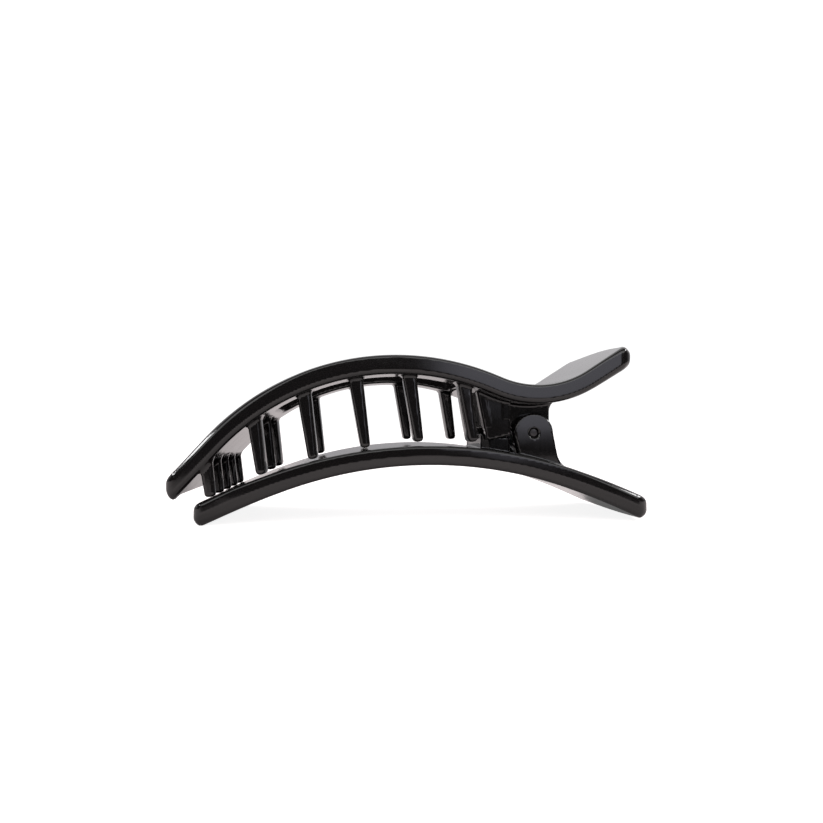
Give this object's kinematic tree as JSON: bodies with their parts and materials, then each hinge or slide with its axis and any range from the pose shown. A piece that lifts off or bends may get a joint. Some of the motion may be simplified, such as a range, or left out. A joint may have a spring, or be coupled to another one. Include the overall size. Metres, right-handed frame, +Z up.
{
  "type": "alligator hair clip",
  "caption": "Flat spring clip for hair: a toothed, windowed arched jaw hinged on a solid bowed jaw, with two press handles.",
  "frame": {"origin": "on the resting surface, below the middle of the bounding box", "axes": "+X from the toothed front to the press handles, +Y across the clip along the hinge pin, +Z up"},
  "size_m": [0.1124, 0.036, 0.0417],
  "materials": {
    "jaw_plastic": "smooth glossy black injection moulding",
    "steel": "plain drawn steel",
    "black_steel": "blackened drawn steel"
  },
  "bodies": {
    "lower": {"lower_jaw": "jaw_plastic", "hinge_pin": "black_steel", "torsion_spring": "steel"},
    "upper": {"upper_jaw": "jaw_plastic"}
  },
  "joints": [
    {"name": "jaw_hinge", "type": "hinge", "parent": "lower", "child": "upper", "pos_m": [0.02885, 0, 0.0206], "axis": [0, 1, 0], "range_deg": [0, 60], "stiffness_Nm_per_rad": 0.12, "springref_deg": -45.84, "deforming": ["torsion_spring"]}
  ]
}
